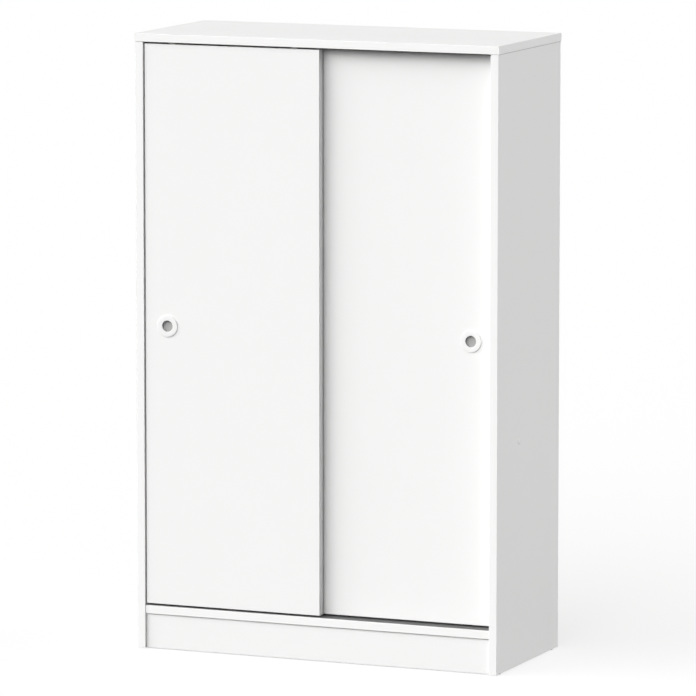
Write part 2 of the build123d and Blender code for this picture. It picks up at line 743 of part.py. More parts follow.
def flange(pocket_width, pocket_height):
    """Flange on the back of the door, over a pocket that stands on the edge of the door."""
    outline = RectangleRounded(pocket_width + 2 * PLATE_MARGIN, pocket_height, PLATE_RADIUS)
    return Pos(0, PLATE_EDGE_GAP + pocket_height / 2) * outline


def roller_pocket(play):
    width = ROLLER_POCKET_WIDTH - 2 * play
    height = ROLLER_POCKET_HEIGHT - play
    return upright(niche(width, height, POCKET_RADIUS), FRONT_SKIN + play, DOOR_THICKNESS)


def axle(play):
    seat = running_plane - wheel_slot / 2 - AXLE_SEAT
    end = DOOR_THICKNESS + PLATE + BOSS_HEIGHT
    return rod(AXLE_DIAMETER / 2 + play, (0, seat - play, axle_height), (0, end, axle_height))


def roller_screws():
    return plate_screws(ROLLER_POCKET_WIDTH, PLATE_EDGE_GAP + ROLLER_POCKET_HEIGHT / 2)


def roller_housing():
    """Housing of a roller: body in the pocket, flange with two ears, and a boss round the axle."""
    plate = flange(ROLLER_POCKET_WIDTH, ROLLER_POCKET_HEIGHT)
    back = DOOR_THICKNESS + PLATE
    boss = Pos(0, axle_height) * Circle(BOSS_DIAMETER / 2) & plate
    body = roller_pocket(POCKET_PLAY) + upright(plate, DOOR_THICKNESS, back)
    body += upright(boss, back, back + BOSS_HEIGHT)
    near = running_plane - wheel_slot / 2
    slot = rod(WHEEL_DIAMETER / 2 + WHEEL_ROOM, (0, near, axle_height), (0, near + wheel_slot, axle_height))
    return body - slot - axle(AXLE_PLAY) - [seat * screw_hole() for seat in roller_screws()]


def roller():
    """Wheel with a crowned tread, a rim, a thin web and a hub, turned about its axle."""
    half = WHEEL_WIDTH / 2
    web = WHEEL_WEB / 2
    tread = WHEEL_DIAMETER / 2
    shoulder = tread - WHEEL_CROWN
    rim = shoulder - WHEEL_RIM
    hub = WHEEL_HUB / 2
    bore = AXLE_DIAMETER / 2 + BEARING_PLAY
    crown = ThreePointArc((shoulder, -half), (tread, 0), (shoulder, half))
    sides = Polyline(
        (shoulder, half),
        (rim, half),
        (rim, web),
        (hub, web),
        (hub, half),
        (bore, half),
        (bore, -half),
        (hub, -half),
        (hub, -web),
        (rim, -web),
        (rim, -half),
        (shoulder, -half),
    )
    return Pos(0, running_plane, axle_height) * revolve(make_face(crown + sides), Axis.Y)


def guide_pocket(play):
    """Pocket that hangs from the top edge of the door."""
    width = GUIDE_POCKET_WIDTH - 2 * play
    outline = Rot(0, 0, 180) * niche(width, guide_pocket_height - play, POCKET_RADIUS)
    return upright(outline, FRONT_SKIN + play, DOOR_THICKNESS)


def guide_prism(play, low, high):
    """The rounded section of a guide, widened by a clearance, between two levels."""
    section = SlotOverall(GUIDE_WIDTH + 2 * play, GUIDE_THICKNESS + 2 * play)
    return Pos(0, running_plane, low) * extrude(section, high - low)


def tab(play, drop):
    """Thumb tab of a guide, or with a clearance and a drop the slot that it runs in."""
    half = TAB_WIDTH / 2 + play
    low = TAB_RISE - GUIDE_TAIL - play - drop
    high = TAB_RISE - GUIDE_TAIL + TAB_HEIGHT + play
    return block((-half, running_plane, low), (half, DOOR_THICKNESS + PLATE + TAB_PROUD, high))


def guide_screws():
    return plate_screws(GUIDE_POCKET_WIDTH, -PLATE_EDGE_GAP - guide_pocket_height / 2)


def guide_housing():
    """Housing of a guide: body in the pocket, flange with two ears, well for the guide, tab slot."""
    plate = Rot(0, 0, 180) * flange(GUIDE_POCKET_WIDTH, guide_pocket_height)
    body = guide_pocket(POCKET_PLAY) + upright(plate, DOOR_THICKNESS, DOOR_THICKNESS + PLATE)
    well = guide_prism(GUIDE_PLAY, -GUIDE_TAIL - SPRING_LENGTH, 0)
    return body - well - tab(TAB_PLAY, guide_travel) - [seat * screw_hole() for seat in guide_screws()]


def guide():
    """Sprung guide: a flat peg that runs in the upper track, with a thumb tab behind the door."""
    peg = guide_prism(0, -GUIDE_TAIL, guide_travel)
    peg = chamfer(peg.faces().sort_by(Axis.Z)[-1].edges(), GUIDE_CHAMFER)
    return peg + tab(0, 0)


def guide_spring():
    """Folded spring between the floor of the housing and the tail of the guide."""
    step = SPRING_LENGTH / SPRING_LEGS
    across = SPRING_STRIP * (step**2 + SPRING_WIDTH**2) ** 0.5 / step  # strip measured level
    reach = (SPRING_WIDTH + across) / 2
    low = -GUIDE_TAIL - SPRING_LENGTH
    left = [(-reach + leg % 2 * SPRING_WIDTH, low + leg * step) for leg in range(SPRING_LEGS + 1)]
    right = [(x + across, z) for x, z in reversed(left)]
    strip = make_face(Polyline(*left, *right, close=True))
    return upright(strip, running_plane - SPRING_DEPTH / 2, running_plane + SPRING_DEPTH / 2)


# Doors
def pull_cup(play):
    """The round body of a pull inside the door, about Y from the face of the door."""
    radius = PULL_RECESS_DIAMETER / 2 + PULL_WALL + play
    return rod(radius, (0, 0, 0), (0, PULL_RECESS_DEPTH + PULL_FLOOR + play, 0))


def finger_pull():
    """Round pull: a low, slightly domed rim round a shallow cup, turned about Y with its face to -Y."""
    rim = PULL_DIAMETER / 2
    recess = PULL_RECESS_DIAMETER / 2
    cup = recess + PULL_WALL
    end = PULL_RECESS_DEPTH + PULL_FLOOR
    crest = recess + PULL_LIP
    dome = TangentArc((crest, -PULL_HEIGHT), (rim, -PULL_EDGE), tangent=(1, 0))
    lip = RadiusArc((crest, -PULL_HEIGHT), (recess, PULL_LIP - PULL_HEIGHT), PULL_LIP)
    body = Polyline(
        (recess, PULL_LIP - PULL_HEIGHT),
        (recess, PULL_RECESS_DEPTH),
        (0, PULL_RECESS_DEPTH),
        (0, end),
        (cup, end),
        (cup, 0),
        (rim, 0),
        (rim, -PULL_EDGE),
    )
    return revolve(make_face(dome + lip + body), Axis.Y)


def fitting_places(left, face, level):
    """Left and right places of a door's fittings on its top or bottom edge."""
    places = (left + FITTING_INSET, left + door_width - FITTING_INSET)
    return [Pos(place, face, level) for place in places]


def door_panel(left, face, pull, rollers, guides):
    panel = board((left, face, door_bottom), (left + door_width, face + DOOR_THICKNESS, door_top))
    cuts = [Pos(left + pull, face, pull_height) * pull_cup(PULL_PLAY)]
    for place in rollers:
        cuts.append(place * roller_pocket(0))
        cuts += [place * seat * screw_hole() for seat in roller_screws()]
    for place in guides:
        cuts.append(place * guide_pocket(0))
        cuts += [place * seat * screw_hole() for seat in guide_screws()]
    return panel - cuts


def door_parts(name, left, face, pull):
    rollers = fitting_places(left, face, door_bottom)
    guides = fitting_places(left, face, door_top)
    screws = [place * seat * wood_screw() for place in rollers for seat in roller_screws()]
    screws += [place * seat * wood_screw() for place in guides for seat in guide_screws()]
    parts = {
        "panel": door_panel(left, face, pull, rollers, guides),
        "finger_pull": Pos(left + pull, face, pull_height) * finger_pull(),
        "roller_housings": group(place * roller_housing() for place in rollers),
        "axles": group(place * axle(0) for place in rollers),
        "guide_housings": group(place * guide_housing() for place in guides),
        "fitting_screws": group(screws),
    }
    for hand, roller_place, guide_place in zip(HANDS, rollers, guides):
        parts[hand + "_roller"] = roller_place * roller()
        parts[hand + "_guide"] = guide_place * guide()
        parts[hand + "_guide_spring"] = guide_place * guide_spring()
    return {name + "_" + part: shape for part, shape in parts.items()}


# All sub-parts by name
parts = {
    "top_panel": top_panel(),
    "left_side_panel": side_panel(HANDS["left"]),
    "right_side_panel": side_panel(HANDS["right"]),
    "bottom_panel": bottom_panel(),
    "plinth": plinth(),
    "fixed_shelf": fixed_shelf(),
    "loose_shelf": loose_shelf(),
    "left_back_panel": back_half(HANDS["left"]),
    "right_back_panel": back_half(HANDS["right"]),
    "back_joining_strip": joining_strip(),
    "front_lower_track": lower_track(track_rows[0], 1),
    "rear_lower_track": lower_track(track_rows[1], -1),
    "front_upper_track": upper_track(track_rows[0], -1),
    "rear_upper_track": upper_track(track_rows[1], 1),
    "door_bumpers": door_bumpers(),
    "hanging_rail": hanging_rail(),
    "left_rail_bracket": rail_bracket(HANDS["left"]),
    "right_rail_bracket": rail_bracket(HANDS["right"]),
    "rail_bracket_screws": group(p * wood_screw() for side in HANDS.values() for p in rail_screws(side)),
    "shelf_pins": shelf_pins(),
    "shelf_screws": group(plane * shelf_screw() for plane in shelf_screws),
    "left_screw_cap": shelf_screws[0] * screw_cap(),
    "right_screw_cap": shelf_screws[1] * screw_cap(),
    "cam_locks": group(plane * cam_lock() for plane in every(cams)),
    "cam_bolts": group(plane * cam_bolt() for plane in every(cams)),
    "dowels": group(plane * dowel() for plane in every(dowels)),
    "wall_brackets": wall_brackets(),
    "wall_bracket_screws": group(seat * wood_screw() for seat in wall_angle_screws),
    "plinth_brackets": plinth_brackets(),
    "plinth_bracket_screws": group(seat * wood_screw() for seat in plinth_angle_screws),
    "floor_glides": group(Pos(*p) * floor_glide() for side in HANDS.values() for p in glide_places(side)),
}
for door, (left, face, pull) in DOORS.items():
    parts.update(door_parts(door, left, face, pull))

os.makedirs("parts", exist_ok=True)
for node, shape in parts.items():
    export_step(shape, "parts/" + node + ".step")
print(len(parts), "sub-parts, door travel", door_travel, "mm")
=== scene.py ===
# %% [markdown]
# # A wardrobe with sliding doors
# This lesson dresses a flat-pack wardrobe that was drawn in CAD. The CAD model gives every board and
# fitting its size and place, so it is loaded first and never moved. Blender adds what CAD leaves out:
# how melamine, hardboard, plastic and steel look, and the small round fittings as smooth shapes.

# %% Load the CAD model
import math

import bmesh
import bpy
from mathutils import Matrix, Vector


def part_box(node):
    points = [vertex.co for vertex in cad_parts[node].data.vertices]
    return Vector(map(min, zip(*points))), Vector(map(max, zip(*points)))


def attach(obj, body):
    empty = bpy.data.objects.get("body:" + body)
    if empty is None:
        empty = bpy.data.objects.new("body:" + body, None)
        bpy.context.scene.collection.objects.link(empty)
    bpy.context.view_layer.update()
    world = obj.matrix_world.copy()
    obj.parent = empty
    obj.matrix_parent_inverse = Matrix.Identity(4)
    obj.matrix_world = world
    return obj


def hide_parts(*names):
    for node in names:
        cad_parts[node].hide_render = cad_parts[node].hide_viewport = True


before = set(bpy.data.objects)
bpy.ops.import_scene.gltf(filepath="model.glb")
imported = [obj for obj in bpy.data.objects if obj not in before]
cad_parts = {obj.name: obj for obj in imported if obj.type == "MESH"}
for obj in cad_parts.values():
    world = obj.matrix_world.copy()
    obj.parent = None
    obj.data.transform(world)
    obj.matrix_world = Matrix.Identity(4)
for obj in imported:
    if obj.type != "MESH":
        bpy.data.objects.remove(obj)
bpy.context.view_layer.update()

# %% [markdown]
# ## Wiring nodes
# A material is a small graph of nodes, and so is a rule that makes a shape. Adding nodes one by one takes
# many lines, so a few helpers do it. Each value handed to them can be a plain number or another node's
# output, which keeps the graphs below readable.


# %% Helpers for all nodes
def feed(tree, socket, value):
    """Gives a socket a plain value, or links it to another node's output."""
    if isinstance(value, bpy.types.NodeSocket):
        tree.links.new(value, socket)
    else:
        socket.default_value = value


def add_any(tree, kind, sockets=None, **properties):
    """One node of any kind: its properties by keyword, its inputs from a dict."""
    node = tree.nodes.new(kind)
    for key, value in properties.items():
        setattr(node, key, value)
    for key, value in (sockets or {}).items():
        feed(tree, node.inputs[key], value)
    return node


def add_node(tree, kind, sockets=None, **properties):
    """One shader node, by the last part of its type's name."""
    return add_any(tree, "ShaderNode" + kind, sockets, **properties)


def calc(tree, operation, *values):
    """One Math node."""
    node = add_node(tree, "Math", operation=operation)
    for socket, value in zip(node.inputs, values):
        feed(tree, socket, value)
    return node.outputs[0]


print("node helpers: feed, add_any, add_node, calc")

# %% [markdown]
# ## Starting a finish
# A finish is a material with one Principled shader, which can stand for nearly every real surface. The CAD
# pieces come with plain colours, so dressing one of them means taking its old material off first.


# %% Helpers for materials
def new_finish(name, **shader_values):
    """A new material with its node tree and its Principled shader."""
    material = bpy.data.materials.new(name)
    material.use_nodes = True
    tree = material.node_tree
    shader = tree.nodes["Principled BSDF"]
    for socket, value in shader_values.items():
        feed(tree, shader.inputs[socket.replace("_", " ")], value)
    return material, tree, shader


def dress(node, material):
    """Puts a finish on a CAD node."""
    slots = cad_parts[node].data.materials
    slots.clear()
    slots.append(material)


print("materials from CAD:", len(bpy.data.materials))

# %% [markdown]
# ## Tones and textures
# Every finish below is made of the same few things: two tones mixed by a noise, a value that runs between
# two limits, and a height map that tilts the surface. Noise in Object coordinates stays on the piece when
# it moves, and its size can be given in metres, as on the real thing.


# %% Helpers for tones and textures
def opaque(colour):
    """A colour of three numbers gets its alpha; another node's output stays as it is."""
    return (*colour, 1) if isinstance(colour, tuple) else colour


def mix_colour(tree, share, first, second):
    """The first colour where share is 0, the second where it is 1."""
    node = add_node(tree, "Mix", {0: share, 6: opaque(first), 7: opaque(second)}, data_type="RGBA")
    return node.outputs[2]


def blend(tree, share, first, second):
    """The given share of the first value and the rest of the second."""
    return calc(tree, "MULTIPLY_ADD", first, share, calc(tree, "MULTIPLY", second, 1 - share))


def noise(tree, coordinates, size, detail=2.0, stretch=(1, 1, 1)):
    """Cloudy noise whose blotches are about size metres across, drawn out by stretch."""
    scale = tuple(1 / (size * s) for s in stretch)
    spread = add_node(tree, "Mapping", {"Vector": coordinates, "Scale": scale}).outputs[0]
    return add_node(tree, "TexNoise", {"Vector": spread, "Scale": 1.0, "Detail": detail}).outputs[0]


def ramp(tree, share, *stops):
    """A colour ramp from (position, colour) stops."""
    node = add_node(tree, "ValToRGB", {"Fac": share})
    elements = node.color_ramp.elements
    while len(elements) < len(stops):
        elements.new(1.0)
    for element, (position, colour) in zip(elements, stops):
        element.position = position
        element.color = opaque(colour)
    return node.outputs[0]


def between(tree, share, low, high):
    """A value that runs from low to high as share runs from 0 to 1."""
    node = add_node(tree, "MapRange", {"Value": share, "To Min": low, "To Max": high})
    return node.outputs[0]


def bump(tree, shader, height, depth):
    """Tilts the shader's normal by a height map that is depth metres deep."""
    node = add_node(tree, "Bump", {"Height": height, "Distance": depth, "Strength": 1.0})
    tree.links.new(node.outputs[0], shader.inputs["Normal"])


print("texture helpers: mix_colour, blend, noise, ramp, between, bump")

# %% [markdown]
# ## Melamine board
# Each board is chipboard with a thin white melamine skin, and a plastic band glued round its visible
# edges. One flat white would do from afar, but the real skin has a fine pearl grain, the bands are a
# little smoother with a hairline seam, and every drilled hole or groove shows the brown core.
# The finish is written once and measures each board: from a point's distance to the outer faces it knows
# whether that point lies on the skin, beside the band's seam or inside the board.

# %% Where a point lies on its board
SKIN = 0.0004  # melamine and paper, before the core shows
BAND = 0.0011  # thickness of the edge band
SEAM = 0.00012  # half the width of the seam beside the band
ON_EDGE = 0.7  # a normal with less than this across the board belongs to an edge
STRAIGHT = 0.9  # a normal with more than this along an axis looks straight along it


def place_and_facing(tree):
    """Object coordinates, and the separate parts of a point's place and of its normal."""
    texture = add_node(tree, "TexCoord").outputs
    place = add_node(tree, "SeparateXYZ", {"Vector": texture["Object"]}).outputs
    facing = add_node(tree, "SeparateXYZ", {"Vector": texture["Normal"]}).outputs
    return texture["Object"], place, facing


def board_masks(tree, node, place, facing, raw_edges):
    """1 or 0 for a point of a board: on an edge, on the band's seam, in the bare core."""
    low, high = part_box(node)
    middle, half = (low + high) / 2, (high - low) / 2
    thin = min(range(3), key=lambda axis: half[axis])
    inset = []
    for axis in range(3):
        offset = calc(tree, "ABSOLUTE", calc(tree, "SUBTRACT", place[axis], middle[axis]))
        inset.append(calc(tree, "SUBTRACT", half[axis], offset))
    to_edge = calc(tree, "MINIMUM", *[inset[axis] for axis in range(3) if axis != thin])
    on_edge = calc(tree, "LESS_THAN", calc(tree, "ABSOLUTE", facing[thin]), ON_EDGE)
    on_seam = calc(tree, "COMPARE", to_edge, BAND, SEAM)
    core = calc(tree, "GREATER_THAN", calc(tree, "MINIMUM", to_edge, inset[thin]), SKIN)
    for axis, sign in raw_edges:
        bare = calc(tree, "GREATER_THAN", calc(tree, "MULTIPLY", facing[axis], sign), STRAIGHT)
        core = calc(tree, "MAXIMUM", core, bare)
    return on_edge, on_seam, core


print("skin:", SKIN, "band:", BAND)

# %% [markdown]
# ## Skin, band and core
# With those masks the finish is a stack of layers: two close whites, the band over them, a grey hairline at
# its seam, brown chips where the core is bare, and painted shade with some dust in the joints. The gloss and
# the grain follow the same masks: the band is smoother than the skin, and the core is rough.

# %% The melamine finish
MELAMINE, MELAMINE_SHADE = (0.805, 0.805, 0.80), (0.795, 0.795, 0.79)
BAND_WHITE = (0.82, 0.82, 0.815)
SEAM_GREY, SEAM_SHARE = (0.55, 0.54, 0.52), 0.35
# painted shade with some dust: near black on the rounded top edge of a side, under the top
JOINT_SHADE_AND_DUST = (0.10, 0.10, 0.098)
ARRIS = (0.55, 0.35)  # how far a rounded edge has turned, and the range either way that is in the joint
CHIPS = ((0.2, (0.23, 0.135, 0.07)), (0.5, (0.50, 0.34, 0.19)), (0.8, (0.70, 0.54, 0.36)))
CHIPS_PER_METRE = 430.0
CHIP_FIBRE = 0.0015
CHIP_RELIEF = 6.0  # the chips' height, against the pearl grain's
BLOTCH, PEARL = 0.09, 0.0011  # sizes of the cloudy tone and of the pearl grain
PEARL_DEPTH = 0.00004
SKIN_ROUGH, CORE_ROUGH = (0.36, 0.46), 0.85
BAND_GLOSS, BAND_SMOOTH = 0.06, 0.7  # the band's lower roughness, and how much of the grain it loses


def chipboard(tree, where):
    """The brown of cut chips, and the tone of each chip."""
    chips = add_node(tree, "TexVoronoi", {"Vector": where, "Scale": CHIPS_PER_METRE})
    fibre = noise(tree, where, CHIP_FIBRE, detail=4.0)
    tone = add_node(tree, "SeparateXYZ", {"Vector": chips.outputs["Color"]}).outputs[0]
    return ramp(tree, blend(tree, 0.5, fibre, tone), *CHIPS), tone


def board_finish(node, raw_edges, joints):
    """Melamine on one board; raw edges and painted-shade edges under another board, as (axis, sign)."""
    material, tree, shader = new_finish(node + "_melamine", Specular_IOR_Level=0.3)
    where, place, facing = place_and_facing(tree)
    on_edge, on_seam, core = board_masks(tree, node, place, facing, raw_edges)
    brown, tone = chipboard(tree, where)
    white = mix_colour(tree, noise(tree, where, BLOTCH), MELAMINE_SHADE, MELAMINE)
    white = mix_colour(tree, on_edge, white, BAND_WHITE)
    white = mix_colour(tree, calc(tree, "MULTIPLY", on_seam, SEAM_SHARE), white, SEAM_GREY)
    colour = mix_colour(tree, core, white, brown)
    # painted shade: the rounded edge under the top turns near black, with some dust
    for axis, sign in joints:
        in_shaded_joint = calc(tree, "COMPARE", calc(tree, "MULTIPLY", facing[axis], sign), *ARRIS)
        colour = mix_colour(tree, in_shaded_joint, colour, JOINT_SHADE_AND_DUST)
    tree.links.new(colour, shader.inputs["Base Color"])

    pearl = noise(tree, where, PEARL, detail=3.0)
    rough = between(tree, pearl, *SKIN_ROUGH)
    rough = calc(tree, "SUBTRACT", rough, calc(tree, "MULTIPLY", on_edge, BAND_GLOSS))
    rough = calc(tree, "MAXIMUM", rough, calc(tree, "MULTIPLY", core, CORE_ROUGH))
    tree.links.new(rough, shader.inputs["Roughness"])
    left_over = calc(tree, "SUBTRACT", 1.0, calc(tree, "MULTIPLY", on_edge, BAND_SMOOTH))
    grain = calc(tree, "MULTIPLY", pearl, left_over)
    relief = calc(tree, "MULTIPLY", core, calc(tree, "MULTIPLY", tone, CHIP_RELIEF))
    bump(tree, shader, calc(tree, "ADD", grain, relief), PEARL_DEPTH)
    return material


print("melamine:", MELAMINE, "band:", BAND_WHITE)

# %% [markdown]
# ## Which edges are bare
# Factories band only the edges that show. On such a cupboard the rear edges, the edges under the top and
# those on the floor stay raw chipboard, and that is what a buyer sees when the cupboard is turned round. The
# doors are banded on all four edges, because each of them shows when the doors move. Where a side meets the
# top, its rounded edge leaves a fine groove, and that edge is painted near black, as painted shade with some
# dust, which draws the thin line under the top.

# %% Dress the boards
REAR, FLOOR, UP = (1, 1), (2, -1), (2, 1)
BOARDS = {
    "top_panel": [REAR],
    "left_side_panel": [REAR, FLOOR, UP],
    "right_side_panel": [REAR, FLOOR, UP],
    "bottom_panel": [REAR],
    "plinth": [FLOOR],
    "fixed_shelf": [REAR],
    "loose_shelf": [REAR],
    "front_door_panel": [],
    "rear_door_panel": [],
}
for node, raw_edges in BOARDS.items():
    # the sides get painted shade on their rounded top edge, where it meets the top
    joints = [UP] if node.endswith("side_panel") else []
    dress(node, board_finish(node, raw_edges, joints))
print("boards dressed:", len(BOARDS))

# %% [markdown]
# ## Hardboard back
# The back is thin hardboard in two halves: painted white where it shows inside, raw brown outside with
# the print of the screen it was pressed on. The side is picked by the direction of the face, so one
# material does both, and two crossed sine waves make the screen print at its real pitch.

# %% The hardboard finish
SCREEN_PITCH, SCREEN_DEPTH = 0.0014, 0.00006
INSIDE = -0.5  # a normal with less than this along Y looks forward, into the cupboard
HARDBOARD = ((0.3, (0.20, 0.115, 0.06)), (0.55, (0.33, 0.205, 0.11)), (0.8, (0.43, 0.285, 0.165)))
BACK_PAINT, BACK_PAINT_SHADE = (0.85, 0.85, 0.842), (0.83, 0.83, 0.82)
RAW_ROUGH, PAINT_ROUGH = 0.75, 0.45
BACK_FIBRE, BACK_CLOUD = 0.004, 0.12  # sizes of the fibres and of the cloudy tone


def hardboard_finish():
    """Raw on its outside, painted on its inside."""
    material, tree, shader = new_finish("hardboard")
    where, place, facing = place_and_facing(tree)
    painted = calc(tree, "LESS_THAN", facing[1], INSIDE)
    fibre = noise(tree, where, BACK_FIBRE, detail=6.0)
    cloud = noise(tree, where, BACK_CLOUD)
    brown = ramp(tree, blend(tree, 0.75, fibre, cloud), *HARDBOARD)
    white = mix_colour(tree, cloud, BACK_PAINT_SHADE, BACK_PAINT)
    tree.links.new(mix_colour(tree, painted, brown, white), shader.inputs["Base Color"])
    tree.links.new(between(tree, painted, RAW_ROUGH, PAINT_ROUGH), shader.inputs["Roughness"])
    turns = 2 * math.pi / SCREEN_PITCH
    waves = [calc(tree, "SINE", calc(tree, "MULTIPLY", place[axis], turns)) for axis in (0, 2)]
    raw = calc(tree, "SUBTRACT", 1.0, painted)
    screen = calc(tree, "MULTIPLY", calc(tree, "MULTIPLY", *waves), raw)
    height = calc(tree, "ADD", screen, calc(tree, "MULTIPLY", fibre, 0.5))
    bump(tree, shader, height, SCREEN_DEPTH)
    return material


hardboard = hardboard_finish()
for node in ("left_back_panel", "right_back_panel"):
    dress(node, hardboard)
print("back panels dressed, screen pitch:", SCREEN_PITCH)

# %% [markdown]
# ## Moulded and extruded plastic
# The tracks, the door fittings and the pulls are all plastic, but not the same plastic. A moulded part has
# an even, slightly pebbled skin. An extruded one carries faint lines along its length. Both come from one
# recipe: noise that is round for a moulding and drawn out along X for an extrusion.

# %% Plastic finishes
ALONG_X = (60, 1, 1)
PLASTIC_CLOUD = 0.02  # size of the cloudy tone
GLOSS_RANGE = 0.05  # how far the roughness strays either way
PLASTICS = {  # tone, darker tone, roughness, size and depth of the pebbles
    "pull": ((0.80, 0.80, 0.795), (0.785, 0.785, 0.78), 0.22, 0.004, 0.00001),
    "track": ((0.15, 0.15, 0.15), (0.13, 0.13, 0.131), 0.38, 0.0008, 0.00002, ALONG_X),
    "housing": ((0.62, 0.62, 0.61), (0.58, 0.58, 0.57), 0.50, 0.0006, 0.00003),
    "roller": ((0.045, 0.045, 0.048), (0.035, 0.035, 0.038), 0.42, 0.0006, 0.00002),
    "guide": ((0.76, 0.755, 0.72), (0.72, 0.715, 0.68), 0.36, 0.0008, 0.00002),
    "glide": ((0.075, 0.065, 0.055), (0.06, 0.05, 0.042), 0.48, 0.0006, 0.00002),
}
PLASTIC_ENDINGS = {
    "_track": "track",
    "_housings": "housing",
    "_roller": "roller",
    "_guide": "guide",
    "_guide_spring": "guide",
    "_joining_strip": "pull",
}


def plastic_finish(name, colour, shade, roughness, grain, depth, stretch=(1, 1, 1)):
    """Plastic of two close tones; grain is the size of its pebbles in metres."""
    material, tree, shader = new_finish(name)
    where = add_node(tree, "TexCoord").outputs["Object"]
    cloud = noise(tree, where, PLASTIC_CLOUD, stretch=stretch)
    pebble = noise(tree, where, grain, detail=3.0, stretch=stretch)
    gloss = between(tree, pebble, roughness - GLOSS_RANGE, roughness + GLOSS_RANGE)
    tree.links.new(mix_colour(tree, cloud, shade, colour), shader.inputs["Base Color"])
    tree.links.new(gloss, shader.inputs["Roughness"])
    bump(tree, shader, pebble, depth)
    return material


plastics = {name: plastic_finish(name + "_plastic", *recipe) for name, recipe in PLASTICS.items()}
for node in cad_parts:
    for ending, name in PLASTIC_ENDINGS.items():
        if node.endswith(ending):
            dress(node, plastics[name])
print("plastics:", [material.name for material in plastics.values()])

# %% [markdown]
# ## Zinc, chrome and beech
# Steel fittings are zinc plated: a soft bluish metal with small patches of different gloss. The hanging rail
# is drawn tube with chrome on it, so its faint lines run lengthwise. A metal's colour is its reflection,
# so most of its character sits in the roughness.

# %% Metal and wood finishes
PLATING_DEPTH = 0.00001
BEECH = ((0.35, (0.42, 0.25, 0.12)), (0.65, (0.66, 0.46, 0.26)))
BEECH_GRAIN, BEECH_DEPTH = 0.0012, 0.00004
BEECH_ROUGH = (0.5, 0.7)
BEECH_LENGTH = (8, 1, 1)  # the grain is drawn out along the dowels
ZINC_NODES = ("front_door_axles", "rear_door_axles", "wall_brackets", "plinth_brackets", "shelf_screws",
              "cam_bolts")
CHROME_NODES = ("left_rail_bracket", "right_rail_bracket")


def metal_finish(name, colour, shade, roughness, spread, grain, stretch=(1, 1, 1)):
    """Plated metal in patches; spread is how far their roughness strays either way."""
    material, tree, shader = new_finish(name, Metallic=1.0)
    where = add_node(tree, "TexCoord").outputs["Object"]
    patch = noise(tree, where, grain, detail=4.0, stretch=stretch)
    gloss = between(tree, patch, roughness - spread, roughness + spread)
    tree.links.new(mix_colour(tree, patch, shade, colour), shader.inputs["Base Color"])
    tree.links.new(gloss, shader.inputs["Roughness"])
    bump(tree, shader, patch, PLATING_DEPTH)
    return material


def beech_finish():
    """Turned beech with its grain lengthwise."""
    material, tree, shader = new_finish("beech")
    where = add_node(tree, "TexCoord").outputs["Object"]
    grain = noise(tree, where, BEECH_GRAIN, detail=5.0, stretch=BEECH_LENGTH)
    tree.links.new(ramp(tree, grain, *BEECH), shader.inputs["Base Color"])
    tree.links.new(between(tree, grain, *BEECH_ROUGH), shader.inputs["Roughness"])
    bump(tree, shader, grain, BEECH_DEPTH)
    return material


# tone, darker tone, roughness and its spread, size of the patches
zinc = metal_finish("zinc", (0.66, 0.68, 0.70), (0.56, 0.58, 0.60), 0.34, 0.10, 0.003)
chrome = metal_finish("chrome", (0.80, 0.81, 0.82), (0.76, 0.77, 0.78), 0.10, 0.04, 0.0006, ALONG_X)
for node in ZINC_NODES:
    dress(node, zinc)
for node in CHROME_NODES:
    dress(node, chrome)
dress("dowels", beech_finish())
print("metals:", zinc.name, chrome.name, "on CAD nodes:", len(ZINC_NODES) + len(CHROME_NODES))

# %% [markdown]
# ## Finding the small fittings
# Screws, cams, pins and pads sit together in CAD nodes, many solids to a node. To put a better shape on
# each one, its place is read from the CAD mesh: a copy is welded and split into connected islands, and each
# island is one fitting with a centre and a span.

# %% Split a node into its fittings
WELD = 1e-6  # points nearer than this are one


def islands(node):
    """The points of each separate solid in a CAD node."""
    mesh = bmesh.new()
    mesh.from_mesh(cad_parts[node].data)
    bmesh.ops.remove_doubles(mesh, verts=mesh.verts, dist=WELD)
    seen, found = set(), []
    for first in mesh.verts:
        if first in seen:
            continue
        seen.add(first)
        island, stack = [], [first]
        while stack:
            vertex = stack.pop()
            island.append(vertex.co.copy())
            for edge in vertex.link_edges:
                other = edge.other_vert(vertex)
                if other not in seen:
                    seen.add(other)
                    stack.append(other)
        found.append(island)
    mesh.free()
    return found


def extent(points):
    """The centre of some points, and their span along each axis."""
    low = Vector(min(point[axis] for point in points) for axis in range(3))
    high = Vector(max(point[axis] for point in points) for axis in range(3))
    return (low + high) / 2, high - low


print("cams:", len(islands("cam_locks")), "shelf pins:", len(islands("shelf_pins")))

# %% [markdown]
# ## Which way a fitting points
# A screw lies along its longest side, and its head is the end where points stand furthest from its axis.
# Other fittings have a known axis and face inwards, outwards or down, so for those a rule is handed in. The
# seat of a fitting is the point where its visible end lies on its axis, with the way that it faces.

# %% Find the seats
HEAD_REACH = 0.8  # points beyond this share of the half width belong to the head


def head_sign(points, centre, along, reach):
    """1 or -1: the end of a fitting where points lie further than reach from its axis."""
    total = 0.0
    for point in points:
        arm = point - centre
        if arm.length_squared - arm[along] ** 2 > reach**2:
            total += arm[along]
    return 1 if total > 0 else -1


def seat(centre, span, along, sign):
    """The end point of a fitting on its axis, and the way that it faces."""
    direction = Vector((0, 0, 0))
    direction[along] = sign
    return centre + direction * span[along] / 2, direction


def seats(node, axis=None, facing=None):
    """The seat of each fitting in a node, by its long axis and its head, or by a given axis and rule."""
    found = []
    for island in islands(node):
        centre, span = extent(island)
        along = axis if axis is not None else max(range(3), key=lambda i: span[i])
        if facing is None:
            sign = head_sign(island, centre, along, HEAD_REACH * min(span) / 2)
        else:
            sign = facing(centre)
        found.append(seat(centre, span, along, sign))
    return found


print("screws in the front door:", len(seats("front_door_fitting_screws")))

